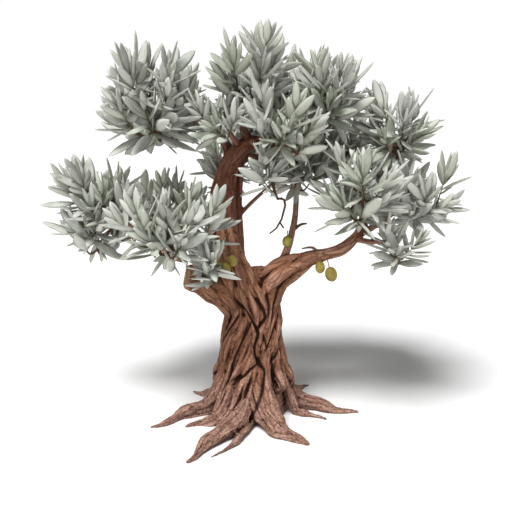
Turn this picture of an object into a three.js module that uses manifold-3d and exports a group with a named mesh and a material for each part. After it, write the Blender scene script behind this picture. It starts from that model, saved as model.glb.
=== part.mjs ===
// An old, low olive tree: a twisted trunk on a star of surface roots, a few heavy boughs and
// a crown of separate, uneven masses of leaves. Millimetres, +Z up, origin in the middle of
// the flat cut under the trunk, at ground level. -Y is the tree's front.
import * as THREE from "three";
import { mergeVertices } from "three/addons/utils/BufferGeometryUtils.js";
import Module from "manifold-3d";

const wasm = await Module();
wasm.setup();

// ---- driving dimensions ----
const TRUNK_HEIGHT = 1560; // ground to the top of the fork
const FOOT_RADIUS = 400; // of the trunk itself, between its roots
const WAIST_RADIUS = 276;
const CROWN_OF_TRUNK_RADIUS = 325; // where the trunk widens under its boughs
const DEPTH_SHARE = 0.88; // the trunk is a little flatter front to back
const TRUNK_SIDES = 22;
const TRUNK_RINGS = 11;
const DOME = 0.14; // share of the trunk's height over which its top rounds in
const FLUTES = 5;
const FLUTE_DEPTH = 0.07; // as a share of the radius
const FLUTE_TWIST = 1.5; // radians from foot to fork
const GAP = 0.5; // clear space between touching solids
const LOBE = 250; // radius of one lobe of a mass of leaves

// Surface roots: the way each tip points (degrees from +X, anticlockwise), how far it
// reaches, how thick it is at the shoulder, and how far it swings round on its way out.
const ROOTS = [
  { name: "front left", azimuth: -118, reach: 1370, radius: 140, swing: 16 },
  { name: "front", azimuth: -106, reach: 1200, radius: 76, swing: 14 },
  { name: "front right", azimuth: -62, reach: 1030, radius: 172, swing: -12 },
  { name: "right fore", azimuth: -20, reach: 820, radius: 75, swing: 10 },
  { name: "right", azimuth: -7, reach: 1130, radius: 118, swing: 20 },
  { name: "back right", azimuth: 46, reach: 1000, radius: 115, swing: 12 },
  { name: "back", azimuth: 96, reach: 1050, radius: 135, swing: -14 },
  { name: "back left", azimuth: 139, reach: 880, radius: 100, swing: 10 },
  { name: "left back", azimuth: 172, reach: 760, radius: 85, swing: -10 },
  { name: "left", azimuth: -158, reach: 1120, radius: 116, swing: -14 },
  { name: "left fore", azimuth: -143, reach: 810, radius: 104, swing: 12 },
];

// Main limbs: stations of [x, y, z, radius], from inside the trunk to the end.
const LIMBS = {
  leader: [
    [-190, 0, 1330, 190],
    [-265, 0, 1620, 172],
    [-300, 20, 1990, 164],
    [-305, 40, 2200, 150],
    [-275, 30, 2420, 122],
    [-220, 0, 2620, 104],
    [-80, -30, 2790, 85],
    [60, -60, 2840, 66],
  ],
  rear_leader: [
    [-130, 100, 1400, 150],
    [-212, 140, 1700, 130],
    [-210, 150, 2000, 120],
    [-200, 190, 2330, 104],
    [-140, 380, 2660, 78],
    [-40, 640, 2860, 56],
  ],
  stub: [
    [-120, 0, 1330, 170],
    [-330, -10, 1375, 170],
    [-500, -45, 1430, 160],
    [-680, -90, 1475, 135],
  ],
  right_bough: [
    [60, 0, 1300, 150],
    [250, -40, 1500, 128],
    [400, -90, 1580, 112],
    [590, -110, 1665, 88],
    [760, -110, 1712, 66],
    [920, -110, 1770, 60],
    [1050, -110, 1890, 50],
    [1100, -110, 2010, 44],
  ],
};

// Boughs: the limb each leaves and how far along it, the mass it feeds, its radius where it
// leaves, and how far its middle is pushed aside from the straight line to that mass.
const BOUGHS = {
  upper_left_bough: ["leader", 0.72, "foliage_upper_left", 60, [160, 200, 20]],
  centre_left_bough: ["leader", 0.84, "foliage_centre_left", 40, [0, 20, -20]],
  top_bough: ["leader", 0.93, "foliage_top", 48, [-90, 0, -40]],
  top_right_bough: ["leader", 0.96, "foliage_top_right", 56, [10, -40, -110]],
  front_bough: ["leader", 0.94, "foliage_centre_front", 44, [0, 40, -40]],
  hanging_bough: ["leader", 0.9, "foliage_hanging", 40, [0, 0, 80]],
  slender_bough: ["right_bough", 0.12, "foliage_right_inner", 46, [70, -135, -50]],
  inner_bough: ["rear_leader", 0.4, "foliage_right_inner", 30, [0, -40, 30]],
  right_upper_bough: ["right_bough", 0.96, "foliage_right_upper", 44, [40, 0, -60]],
  right_outer_bough: ["right_bough", 0.86, "foliage_right_outer", 42, [0, 0, -30]],
  right_front_bough: ["right_bough", 0.97, "foliage_right_front", 40, [20, 30, -30]],
  right_low_bough: ["right_bough", 0.84, "foliage_right_low", 36, [0, 0, -30]],
  back_right_low_bough: ["right_outer_bough", 0.3, "foliage_back_right_low", 32, [0, 0, -60]],
  left_bough: ["stub", 0.83, "foliage_left_front", 58, [110, 20, 40]],
  stub_bough: ["stub", 0.7, "foliage_stub", 36, [0, 0, -30]],
  left_outer_bough: ["stub", 0.93, "foliage_left_outer", 56, [-20, 60, 50]],
  back_left_bough: ["rear_leader", 0.05, "foliage_back_left", 96, [0, 20, -60]],
  rear_left_bough: ["rear_leader", 0.6, "foliage_rear_left", 58, [0, -20, 10]],
  back_upper_left_bough: ["upper_left_bough", 0.45, "foliage_back_upper_left", 42, [0, 0, 30]],
  back_top_bough: ["top_right_bough", 0.3, "foliage_back_top", 40, [0, -40, -60]],
  back_right_bough: ["rear_leader", 0.8, "foliage_back_right", 52, [0, 60, -60]],
};
const BOUGH_END = 0.85; // how far along the line to its mass's middle a bough runs
const BOUGH_TAPER = 0.6; // radius at its end, as a share of that at its start

// Masses of leaves: middle, half-size out to the leaf tips, and how many lobes make it up.
const MASSES = {
  foliage_upper_left: { at: [-950, -150, 3240], half: [620, 540, 630], lobes: 13 },
  foliage_top: { at: [0, -150, 3490], half: [500, 480, 560], lobes: 11 },
  foliage_centre_front: { at: [230, -560, 3010], half: [520, 400, 420], lobes: 9 },
  foliage_centre_left: { at: [-330, -380, 3090], half: [340, 330, 300], lobes: 6 },
  foliage_top_right: { at: [760, 60, 3290], half: [500, 500, 500], lobes: 10 },
  foliage_right_upper: { at: [1500, 240, 2990], half: [500, 480, 480], lobes: 10 },
  foliage_right_outer: { at: [1660, -60, 2310], half: [450, 480, 440], lobes: 9 },
  foliage_right_front: { at: [1020, -500, 2400], half: [550, 420, 480], lobes: 10 },
  foliage_right_low: { at: [1370, -420, 1900], half: [290, 270, 270], lobes: 4 },
  foliage_right_inner: { at: [500, 330, 2610], half: [500, 420, 380], lobes: 8 },
  foliage_left_outer: { at: [-1610, 120, 2200], half: [570, 500, 600], lobes: 12 },
  foliage_left_front: { at: [-730, -600, 2040], half: [750, 420, 430], lobes: 12 },
  foliage_stub: { at: [-370, -590, 1710], half: [260, 230, 210], lobes: 4 },
  foliage_hanging: { at: [140, -440, 2620], half: [260, 250, 240], lobes: 4 },
  foliage_rear_left: { at: [-330, 640, 2620], half: [330, 360, 330], lobes: 6 },
  foliage_back_upper_left: { at: [-900, 780, 3230], half: [500, 450, 460], lobes: 9 },
  foliage_back_left: { at: [-1000, 980, 2110], half: [540, 470, 390], lobes: 9 },
  foliage_back: { at: [-20, 1060, 2990], half: [500, 450, 450], lobes: 9 },
  foliage_back_top: { at: [330, 640, 3420], half: [520, 460, 440], lobes: 9 },
  foliage_back_right: { at: [960, 1020, 2800], half: [540, 470, 450], lobes: 10 },
  foliage_back_right_low: { at: [1520, 760, 2420], half: [450, 440, 400], lobes: 8 },
};
const MASS_DETAIL = 2; // subdivisions of the sphere that each mass is drawn out of
const CORE = 0.72; // least reach of a mass, as a share of its half-size
const GOLDEN_ANGLE = Math.PI * (3 - Math.sqrt(5));

// ---- materials ----
const bark = new THREE.MeshStandardMaterial({ color: 0x7c5746, roughness: 0.85, metalness: 0 });
const branch = new THREE.MeshStandardMaterial({ color: 0x6a4134, roughness: 0.8, metalness: 0 });
const leaves = new THREE.MeshStandardMaterial({ color: 0xa3aaa2, roughness: 0.7, metalness: 0 });

// ---- from three.js geometry to solids and back ----

/** A geometry as a solid. Only positions are kept, so that shared corners merge. */
function solidOf(geometry) {
  geometry.deleteAttribute("normal");
  geometry.deleteAttribute("uv");
  const merged = mergeVertices(geometry, 1e-3);
  return new wasm.Manifold(
    new wasm.Mesh({
      numProp: 3,
      vertProperties: merged.getAttribute("position").array,
      triVerts: new Uint32Array(merged.getIndex().array),
    }),
  );
}

/** A solid as a geometry that a mesh can show. */
function geometryOf(solid) {
  const { vertProperties, triVerts } = solid.getMesh();
  const geometry = new THREE.BufferGeometry();
  geometry.setAttribute("position", new THREE.BufferAttribute(vertProperties, 3));
  geometry.setIndex(new THREE.BufferAttribute(triVerts, 1));
  geometry.computeVertexNormals();
  return geometry;
}

/** The one piece of a cut solid that lies nearest to a point. */
function pieceNear(solid, point) {
  const distance = (piece) => {
    const { min, max } = piece.boundingBox();
    const box = new THREE.Box3(new THREE.Vector3(...min), new THREE.Vector3(...max));
    return box.distanceToPoint(point) - 1e-6 * piece.volume() ** (1 / 3);
  };
  const pieces = solid.decompose();
  return pieces.reduce((best, piece) => (distance(piece) < distance(best) ? piece : best));
}

/** Closes rings of points into a skin: rings[i][k], the first and last ring capped by fans. */
function skinOf(rings) {
  const sides = rings[0].length;
  const positions = rings.flat().flatMap((p) => [p.x, p.y, p.z]);
  const index = [];
  for (let i = 0; i + 1 < rings.length; i++)
    for (let k = 0; k < sides; k++) {
      const a = i * sides + k;
      const b = i * sides + ((k + 1) % sides);
      index.push(a, b, a + sides, b, b + sides, a + sides);
    }
  for (const [ring, facesUp] of [
    [0, false],
    [rings.length - 1, true],
  ]) {
    const middle = rings[ring].reduce((sum, p) => sum.add(p), new THREE.Vector3());
    middle.divideScalar(sides);
    const hub = positions.length / 3;
    positions.push(middle.x, middle.y, middle.z);
    for (let k = 0; k < sides; k++) {
      const a = ring * sides + k;
      const b = ring * sides + ((k + 1) % sides);
      index.push(...(facesUp ? [a, b, hub] : [b, a, hub]));
    }
  }
  const geometry = new THREE.BufferGeometry();
  geometry.setAttribute("position", new THREE.Float32BufferAttribute(positions, 3));
  geometry.setIndex(index);
  return geometry;
}

// ---- limbs ----

/** The middle line of a limb through its stations. */
function lineOf(stations) {
  return new THREE.CatmullRomCurve3(stations.map(([x, y, z]) => new THREE.Vector3(x, y, z)));
}

/** A limb's stations: given for a main limb, and worked out for a bough. */
function stationsOf(name) {
  if (name in LIMBS) return LIMBS[name];
  const [parent, share, mass, radius, bend] = BOUGHS[name];
  const start = lineOf(stationsOf(parent)).getPoint(share);
  const end = start.clone().lerp(new THREE.Vector3(...MASSES[mass].at), BOUGH_END);
  return [0, 0.25, 0.5, 0.75, 1].map((t) => {
    const point = start.clone().lerp(end, t);
    point.addScaledVector(new THREE.Vector3(...bend), 4 * t * (1 - t));
    return [point.x, point.y, point.z, radius * THREE.MathUtils.lerp(1, BOUGH_TAPER, t)];
  });
}

/** A tapering tube through stations of [x, y, z, radius], thicker all round by grow. */
function limb(stations, grow = 0) {
  const steps = (stations.length - 1) * 2;
  const sides = Math.round(5 + stations[0][3] / 50);
  const curve = lineOf(stations);
  const thickness = new THREE.SplineCurve(
    stations.map(([, , , radius], i) => new THREE.Vector2(i, radius)),
  );
  const { tangents, normals, binormals } = curve.computeFrenetFrames(steps);
  const rings = [];
  for (let i = 0; i <= steps; i++) {
    // Frenet frames go by length along the curve, so the radius is looked up the same way.
    const t = curve.getUtoTmapping(i / steps);
    const centre = curve.getPoint(t);
    const radius = thickness.getPoint(t).y + grow;
    if (i === 0) centre.addScaledVector(tangents[i], -grow);
    if (i === steps) centre.addScaledVector(tangents[i], grow);
    const ring = [];
    for (let k = 0; k < sides; k++) {
      const angle = (2 * Math.PI * k) / sides;
      ring.push(
        centre
          .clone()
          .addScaledVector(normals[i], radius * Math.cos(angle))
          .addScaledVector(binormals[i], radius * Math.sin(angle)),
      );
    }
    rings.push(ring);
  }
  return solidOf(skinOf(rings));
}

/** A point at a height, at a distance from the trunk's middle in a direction in degrees. */
function around(azimuth, distance, height) {
  const angle = THREE.MathUtils.degToRad(azimuth);
  return [distance * Math.cos(angle), distance * Math.sin(angle), height];
}

/** A root that leaves the trunk at its shoulder, swings round and sinks to the ground. */
function root({ azimuth, reach, radius, swing }, grow) {
  return limb(
    [
      [...around(azimuth + swing, 0.16 * FOOT_RADIUS, 700), radius * 0.7],
      [...around(azimuth + swing, 0.66 * FOOT_RADIUS, 400), radius],
      [...around(azimuth + swing * 0.8, 1.15 * FOOT_RADIUS, 0.9 * radius), radius * 0.92],
      [...around(azimuth + swing * 0.2, 0.7 * reach, 0.22 * radius), radius * 0.54],
      [...around(azimuth, reach, -0.1 * radius), radius * 0.2],
    ],
    grow,
  );
}

/** The trunk's middle and radius at a share of its height: foot, waist, then the fork. */
function trunkAt(share) {
  const lean = new THREE.SplineCurve(
    [0, 0, 0, -5, -85].map((x, i) => new THREE.Vector2(i, x)),
  );
  const radius = new THREE.SplineCurve(
    [
      FOOT_RADIUS,
      0.93 * FOOT_RADIUS,
      0.76 * FOOT_RADIUS,
      WAIST_RADIUS,
      CROWN_OF_TRUNK_RADIUS,
    ].map((r, i) => new THREE.Vector2(i, r)),
  );
  const dome = Math.max(0, (share - 1) / DOME + 1);
  return {
    x: lean.getPoint(share).y,
    radius: radius.getPoint(share).y * Math.sqrt(1 - 0.8 * dome * dome),
  };
}

/** The trunk with its root flare: a fluted, twisting column and its roots, cut flat below. */
function trunk(grow = 0) {
  const rings = [];
  for (let i = 0; i <= TRUNK_RINGS; i++) {
    const share = i / TRUNK_RINGS;
    const { x, radius } = trunkAt(share);
    const ring = [];
    for (let k = 0; k < TRUNK_SIDES; k++) {
      const angle = (2 * Math.PI * k) / TRUNK_SIDES;
      const flute = FLUTE_DEPTH * Math.cos(FLUTES * angle - FLUTE_TWIST * FLUTES * share);
      const r = radius * (1 + flute) + grow;
      ring.push(
        new THREE.Vector3(
          x + r * Math.cos(angle),
          DEPTH_SHARE * r * Math.sin(angle),
          share * TRUNK_HEIGHT,
        ),
      );
    }
    rings.push(ring);
  }
  const column = solidOf(skinOf(rings));
  const roots = ROOTS.map((each) => root(each, grow));
  return wasm.Manifold.union([column, ...roots]).trimByPlane([0, 0, 1], 0);
}

// ---- foliage ----

/** The middles of a mass's lobes, on a golden-angle spiral just inside its outline. */
function lobesOf({ at, half, lobes }) {
  const radius = Math.min(LOBE, 0.9 * Math.min(...half));
  return Array.from({ length: lobes }, (_, i) => {
    const z = 1 - (2 * i + 1) / lobes;
    const ring = Math.sqrt(1 - z * z);
    const turn = i * GOLDEN_ANGLE + 0.01 * at[0];
    const way = [ring * Math.cos(turn), ring * Math.sin(turn), z];
    const fullness = 0.95 + 0.12 * Math.sin(1.7 * i + 0.02 * at[1]);
    const out = (k) => way[k] * (half[k] * fullness - radius);
    return { middle: new THREE.Vector3(out(0), out(1), out(2)), radius };
  });
}

/** How far one mass may reach towards another: a share of the way, by the masses' sizes. */
function halfWay(mass, other) {
  const across = new THREE.Vector3(...other.at).sub(new THREE.Vector3(...mass.at));
  const size = ({ half }) => Math.hypot(...half);
  const share = size(mass) / (size(mass) + size(other));
  return { way: across.clone().normalize(), reach: share * across.length() - GAP };
}

/**
 * How far a mass reaches from its middle in a direction: to the far side of whichever lobe
 * lies furthest that way, never less than its core, and not past the half-way plane to any
 * neighbour.
 */
function reachOf(mass, lobes, planes, way) {
  const core = new THREE.Vector3(...mass.half.map((size, k) => way.getComponent(k) / size));
  let reach = CORE / core.length();
  for (const { middle, radius } of lobes) {
    const along = middle.dot(way);
    const aside = middle.lengthSq() - along * along;
    if (aside < radius * radius)
      reach = Math.max(reach, along + Math.sqrt(radius * radius - aside));
  }
  for (const plane of planes) {
    const facing = way.dot(plane.way);
    if (facing > 1e-3) reach = Math.min(reach, plane.reach / facing);
  }
  return reach;
}

/** One closed, uneven solid for a mass of leaves: a sphere drawn out to the mass's reach. */
function foliage(mass, grow = 0) {
  const lobes = lobesOf(mass);
  const planes = Object.values(MASSES)
    .filter((other) => other !== mass)
    .map((other) => halfWay(mass, other));
  const geometry = new THREE.IcosahedronGeometry(1, MASS_DETAIL);
  const positions = geometry.getAttribute("position");
  const middle = new THREE.Vector3(...mass.at);
  const way = new THREE.Vector3();
  for (let i = 0; i < positions.count; i++) {
    way.fromBufferAttribute(positions, i).normalize();
    way.multiplyScalar(reachOf(mass, lobes, planes, way) + grow).add(middle);
    positions.setXYZ(i, way.x, way.y, way.z);
  }
  return solidOf(geometry);
}

// ---- the tree ----

const tree = new THREE.Group();

function addNode(name, solid, material) {
  const mesh = new THREE.Mesh(geometryOf(solid), material);
  mesh.name = name;
  tree.add(mesh);
}

// Each limb is cut where it leaves the limbs before it, and ends where it enters a mass.
let wood = trunk(GAP);
const leafage = wasm.Manifold.union(Object.values(MASSES).map((mass) => foliage(mass, GAP)));
addNode("trunk", trunk(), bark);
for (const name of [...Object.keys(LIMBS), ...Object.keys(BOUGHS)]) {
  const stations = stationsOf(name);
  const free = limb(stations).subtract(wood).subtract(leafage);
  const [x, y, z] = stations[1];
  addNode(name, pieceNear(free, new THREE.Vector3(x, y, z)), name in LIMBS ? bark : branch);
  wood = wood.add(limb(stations, GAP));
}
for (const [name, mass] of Object.entries(MASSES)) addNode(name, foliage(mass), leaves);

export default tree;
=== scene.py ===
import math

import bmesh
import bpy
import numpy as np
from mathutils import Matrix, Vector
from mathutils.bvhtree import BVHTree


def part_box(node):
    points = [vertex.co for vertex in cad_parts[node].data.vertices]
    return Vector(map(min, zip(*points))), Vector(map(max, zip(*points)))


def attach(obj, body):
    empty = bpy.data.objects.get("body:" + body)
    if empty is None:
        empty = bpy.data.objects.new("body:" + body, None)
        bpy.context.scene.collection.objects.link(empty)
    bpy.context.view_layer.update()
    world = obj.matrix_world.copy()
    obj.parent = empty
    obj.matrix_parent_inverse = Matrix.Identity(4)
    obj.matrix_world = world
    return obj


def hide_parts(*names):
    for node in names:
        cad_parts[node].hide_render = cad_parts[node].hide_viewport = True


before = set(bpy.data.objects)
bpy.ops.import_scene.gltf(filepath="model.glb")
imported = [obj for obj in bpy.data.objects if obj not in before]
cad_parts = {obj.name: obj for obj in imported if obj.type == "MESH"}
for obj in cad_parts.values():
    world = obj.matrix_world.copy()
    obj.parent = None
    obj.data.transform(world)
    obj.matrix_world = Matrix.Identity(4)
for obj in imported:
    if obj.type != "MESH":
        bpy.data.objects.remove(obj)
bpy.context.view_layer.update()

# An old, low olive tree. Lengths are in metres, +Z is up, -Y is the front, and the origin is
# the middle of the flat cut under the trunk.

# ---- the tree's sizes, as the frame has them ----

TRUNK_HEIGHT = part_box("trunk")[1][2]
TRUNK_LEAN = [0.0, 0.0, 0.0, -0.005, -0.085]  # sideways place of its middle, foot to fork
TRUNK_RADIUS = [0.40, 0.372, 0.304, 0.276, 0.325]
DEPTH_SHARE = 0.88  # the trunk is a little flatter front to back

# Main limbs: x, y, z and radius along the middle line, from inside the trunk to the end.
LIMBS = {
    "leader": [
        (-0.19, 0.0, 1.33, 0.19),
        (-0.265, 0.0, 1.62, 0.172),
        (-0.3, 0.02, 1.99, 0.164),
        (-0.305, 0.04, 2.2, 0.15),
        (-0.275, 0.03, 2.42, 0.122),
        (-0.22, 0.0, 2.62, 0.104),
        (-0.08, -0.03, 2.79, 0.085),
        (0.06, -0.06, 2.84, 0.066),
    ],
    "rear_leader": [
        (-0.13, 0.1, 1.4, 0.15),
        (-0.212, 0.14, 1.7, 0.13),
        (-0.21, 0.15, 2.0, 0.12),
        (-0.2, 0.19, 2.33, 0.104),
        (-0.14, 0.38, 2.66, 0.078),
        (-0.04, 0.64, 2.86, 0.056),
    ],
    "stub": [
        (-0.12, 0.0, 1.33, 0.17),
        (-0.33, -0.01, 1.375, 0.17),
        (-0.5, -0.045, 1.43, 0.16),
        (-0.68, -0.09, 1.475, 0.135),
    ],
    "right_bough": [
        (0.06, 0.0, 1.3, 0.15),
        (0.25, -0.04, 1.5, 0.128),
        (0.4, -0.09, 1.58, 0.112),
        (0.59, -0.11, 1.665, 0.088),
        (0.76, -0.11, 1.712, 0.066),
        (0.92, -0.11, 1.77, 0.06),
        (1.05, -0.11, 1.89, 0.05),
        (1.1, -0.11, 2.01, 0.044),
    ],
}

# Boughs: the limb each leaves and how far along it, the mass it feeds, its radius where it
# leaves, and how far its middle is pushed aside from the straight line to that mass.
BOUGHS = {
    "upper_left_bough": ("leader", 0.72, "foliage_upper_left", 0.06, (0.16, 0.2, 0.02)),
    "centre_left_bough": ("leader", 0.84, "foliage_centre_left", 0.04, (0.0, 0.02, -0.02)),
    "top_bough": ("leader", 0.93, "foliage_top", 0.048, (-0.09, 0.0, -0.04)),
    "top_right_bough": ("leader", 0.96, "foliage_top_right", 0.056, (0.01, -0.04, -0.11)),
    "front_bough": ("leader", 0.94, "foliage_centre_front", 0.044, (0.0, 0.04, -0.04)),
    "hanging_bough": ("leader", 0.9, "foliage_hanging", 0.04, (0.0, 0.0, 0.08)),
    "slender_bough": ("right_bough", 0.12, "foliage_right_inner", 0.046, (0.07, -0.135, -0.05)),
    "inner_bough": ("rear_leader", 0.4, "foliage_right_inner", 0.029, (0.0, -0.04, 0.03)),
    "right_upper_bough": ("right_bough", 0.96, "foliage_right_upper", 0.044, (0.04, 0.0, -0.06)),
    "right_outer_bough": ("right_bough", 0.86, "foliage_right_outer", 0.042, (0.0, 0.0, -0.03)),
    "right_front_bough": ("right_bough", 0.97, "foliage_right_front", 0.04, (0.02, 0.03, -0.03)),
    "right_low_bough": ("right_bough", 0.84, "foliage_right_low", 0.036, (0.0, 0.0, -0.03)),
    "back_right_low_bough": (
        "right_outer_bough", 0.3, "foliage_back_right_low", 0.032, (0.0, 0.0, -0.06)
    ),
    "left_bough": ("stub", 0.83, "foliage_left_front", 0.058, (0.11, 0.02, 0.04)),
    "stub_bough": ("stub", 0.7, "foliage_stub", 0.036, (0.0, 0.0, -0.03)),
    "left_outer_bough": ("stub", 0.93, "foliage_left_outer", 0.056, (-0.02, 0.06, 0.05)),
    "back_left_bough": ("rear_leader", 0.05, "foliage_back_left", 0.096, (0.0, 0.02, -0.06)),
    "rear_left_bough": ("rear_leader", 0.6, "foliage_rear_left", 0.058, (0.0, -0.02, 0.01)),
    "back_upper_left_bough": (
        "upper_left_bough", 0.45, "foliage_back_upper_left", 0.042, (0.0, 0.0, 0.03)
    ),
    "back_top_bough": ("top_right_bough", 0.3, "foliage_back_top", 0.04, (0.0, -0.04, -0.06)),
    "back_right_bough": ("rear_leader", 0.8, "foliage_back_right", 0.052, (0.0, 0.06, -0.06)),
}
BOUGH_END = 0.85
BOUGH_TAPER = 0.6
NO_BOUGH = {"foliage_back": "rear_leader"}  # fed by a main limb's own end

# Surface roots: azimuth of the tip in degrees, reach, radius at the shoulder, how far the
# shoulder is swung from the tip, and how much further it turns as it climbs the trunk.
ROOTS = [
    (-118, 1.37, 0.140, 16, 22),
    (-106, 1.20, 0.076, 14, 8),
    (-62, 1.03, 0.172, -12, 16),
    (-20, 0.82, 0.075, 10, -14),
    (-7, 1.13, 0.118, 20, -16),
    (46, 1.00, 0.115, 12, -14),
    (96, 1.05, 0.135, -14, 12),
    (139, 0.88, 0.100, 10, 14),
    (172, 0.76, 0.085, -10, -14),
    (-158, 1.12, 0.116, -14, 24),
    (-143, 0.81, 0.104, 12, 20),
]

# Strands of the trunk that show as separate ropes: radius, then (azimuth, height) stations.
FRONT_STRANDS = [
    (0.068, [(-104, 1.44), (-106, 1.32), (-99, 1.20), (-87, 1.00), (-82, 0.88)]),
    (0.060, [(-90, 1.46), (-86, 1.30), (-81, 1.14), (-79, 0.99), (-80, 0.86)]),
    (0.070, [(-76, 1.44), (-66, 1.28), (-61, 1.13), (-67, 1.02), (-77, 0.90)]),
    (0.090, [(-46, 1.44), (-46, 1.21), (-60, 1.02), (-74, 0.90), (-79, 0.76)]),
    (0.076, [(-20, 1.38), (-32, 1.14), (-47, 0.99), (-58, 0.80), (-62, 0.64)]),
    (0.070, [(-6, 1.12), (-22, 0.93), (-46, 0.78), (-56, 0.66)]),
    (0.076, [(-101, 1.14), (-113, 0.95), (-131, 0.84), (-141, 0.70), (-147, 0.48)]),
    (0.066, [(-94, 1.07), (-99, 0.93), (-114, 0.79), (-126, 0.62), (-136, 0.45)]),
    (0.066, [(-90, 0.99), (-96, 0.82), (-104, 0.66), (-117, 0.52), (-130, 0.34)]),
    (0.082, [(-124, 1.34), (-124, 1.10), (-140, 0.92), (-152, 0.76), (-160, 0.54)]),
    (0.080, [(-88, 0.76), (-94, 0.60), (-101, 0.44), (-108, 0.24)]),
    (0.070, [(-40, 0.98), (-38, 0.78), (-42, 0.49), (-38, 0.28)]),
    (0.072, [(-14, 0.98), (-13, 0.72), (-9, 0.48), (0, 0.28)]),
    (0.075, [(-150, 1.34), (-156, 1.05), (-160, 0.80), (-166, 0.50)]),
]
# Strands that run on from the trunk into a limb: stations of x, y, z and radius.
FORK_STRANDS = [
    [(-0.27, -0.14, 1.12, 0.05), (-0.33, -0.15, 1.32, 0.07), (-0.36, -0.13, 1.52, 0.075),
     (-0.37, -0.12, 1.75, 0.066), (-0.37, -0.11, 2.02, 0.042)],
    [(-0.17, -0.24, 1.1, 0.055), (-0.2, -0.25, 1.3, 0.075), (-0.25, -0.19, 1.52, 0.08),
     (-0.3, -0.15, 1.8, 0.062), (-0.33, -0.12, 2.1, 0.042)],
    [(-0.03, -0.26, 1.14, 0.05), (-0.07, -0.27, 1.32, 0.07), (-0.13, -0.21, 1.52, 0.07),
     (-0.19, -0.15, 1.75, 0.056), (-0.24, -0.12, 2.0, 0.042)],
    [(0.06, -0.25, 1.2, 0.05), (0.03, -0.24, 1.36, 0.07), (-0.03, -0.18, 1.5, 0.07),
     (-0.12, -0.1, 1.68, 0.055), (-0.18, -0.07, 1.9, 0.04)],
    [(0.1, -0.23, 1.15, 0.05), (0.14, -0.23, 1.32, 0.075), (0.22, -0.2, 1.46, 0.08),
     (0.34, -0.18, 1.55, 0.068), (0.48, -0.17, 1.62, 0.042)],
    [(0.24, -0.12, 1.1, 0.05), (0.27, -0.12, 1.28, 0.07), (0.33, -0.12, 1.42, 0.07),
     (0.44, -0.13, 1.5, 0.058), (0.58, -0.13, 1.6, 0.036)],
    [(-0.22, -0.2, 1.02, 0.05), (-0.3, -0.19, 1.18, 0.07), (-0.4, -0.17, 1.31, 0.08),
     (-0.5, -0.17, 1.4, 0.07), (-0.62, -0.17, 1.44, 0.05)],
    [(-0.26, -0.08, 1.0, 0.05), (-0.33, -0.06, 1.14, 0.07), (-0.43, -0.03, 1.25, 0.08),
     (-0.54, -0.05, 1.34, 0.07), (-0.64, -0.07, 1.39, 0.05)],
    [(-0.1, 0.26, 1.15, 0.06), (-0.12, 0.26, 1.38, 0.08), (-0.17, 0.24, 1.6, 0.075),
     (-0.2, 0.24, 1.85, 0.05), (-0.2, 0.24, 2.0, 0.04)],
    [(0.15, 0.2, 1.15, 0.06), (0.17, 0.17, 1.36, 0.08), (0.24, 0.08, 1.5, 0.075),
     (0.36, 0.0, 1.58, 0.05), (0.5, -0.05, 1.66, 0.036)],
    [(-0.25, 0.15, 1.15, 0.05), (-0.3, 0.14, 1.36, 0.075), (-0.35, 0.1, 1.55, 0.07),
     (-0.37, 0.09, 1.8, 0.05), (-0.38, 0.08, 2.0, 0.04)],
    [(0.07, -0.17, 1.36, 0.05), (0.15, -0.15, 1.52, 0.066), (0.26, -0.14, 1.615, 0.064),
     (0.38, -0.13, 1.665, 0.056), (0.5, -0.12, 1.69, 0.04)],
]
# Solid shoulders that fill the fork: stations of x, y, z and radius.
FORK_BODIES = [
    [(-0.08, -0.02, 1.08, 0.19), (-0.2, -0.03, 1.28, 0.215), (-0.35, -0.04, 1.39, 0.19),
     (-0.5, -0.05, 1.44, 0.162), (-0.61, -0.08, 1.465, 0.145)],
    [(0.06, 0.0, 1.1, 0.19), (0.13, -0.02, 1.28, 0.2), (0.24, -0.05, 1.44, 0.15),
     (0.36, -0.08, 1.54, 0.118), (0.44, -0.1, 1.59, 0.1)],
]
# Deep seams between the trunk's strands: depth, then (azimuth, height) stations.
SEAMS = [
    (0.034, [(-108, 1.52), (-118, 1.27), (-100, 1.14), (-84, 0.99), (-80, 0.9), (-86, 0.76),
             (-78, 0.62), (-70, 0.53), (-74, 0.43), (-86, 0.22), (-95, 0.0)]),
    (0.028, [(-88, 1.37), (-71, 1.2), (-65, 1.09), (-75, 1.01), (-83, 0.95)]),
    (0.024, [(-112, 1.13), (-124, 1.04), (-139, 0.94), (-163, 0.76)]),
    (0.028, [(-86, 1.12), (-102, 0.92), (-119, 0.68), (-129, 0.48), (-134, 0.3)]),
    (0.028, [(-78, 0.62), (-92, 0.56), (-106, 0.49), (-124, 0.42)]),
    (0.024, [(-29, 1.17), (-45, 0.94), (-59, 0.8), (-70, 0.72)]),
    (0.026, [(-14, 0.9), (-36, 0.74), (-60, 0.58)]),
    (0.022, [(-100, 0.42), (-105, 0.3), (-112, 0.17)]),
    (0.022, [(-58, 0.4), (-55, 0.28), (-54, 0.17)]),
    (0.02, [(-96, 1.06), (-108, 0.86), (-116, 0.66)]),
    (0.02, [(-58, 1.4), (-54, 1.2), (-64, 1.02)]),
    (0.02, [(-30, 1.45), (-40, 1.2), (-52, 1.0)]),
    (0.016, [(-97, 1.3), (-92, 1.16), (-85, 1.04)]),
    (0.016, [(-133, 1.2), (-140, 1.05), (-152, 0.9)]),
    (0.016, [(-72, 0.94), (-66, 0.84), (-62, 0.68)]),
    (0.016, [(-92, 0.86), (-101, 0.72), (-112, 0.6)]),
    (0.016, [(-128, 0.78), (-140, 0.62), (-150, 0.46)]),
    (0.016, [(-90, 0.5), (-95, 0.38), (-102, 0.26)]),
    (0.016, [(-46, 0.66), (-52, 0.5), (-48, 0.36)]),
    (0.016, [(-24, 0.74), (-28, 0.56), (-26, 0.4)]),
]
BACK_SEAMS = 22
SEAM_WIDTH = 0.014
SEAM_SHOULDER = 0.032
SEAM_STEPS = 130
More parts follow.
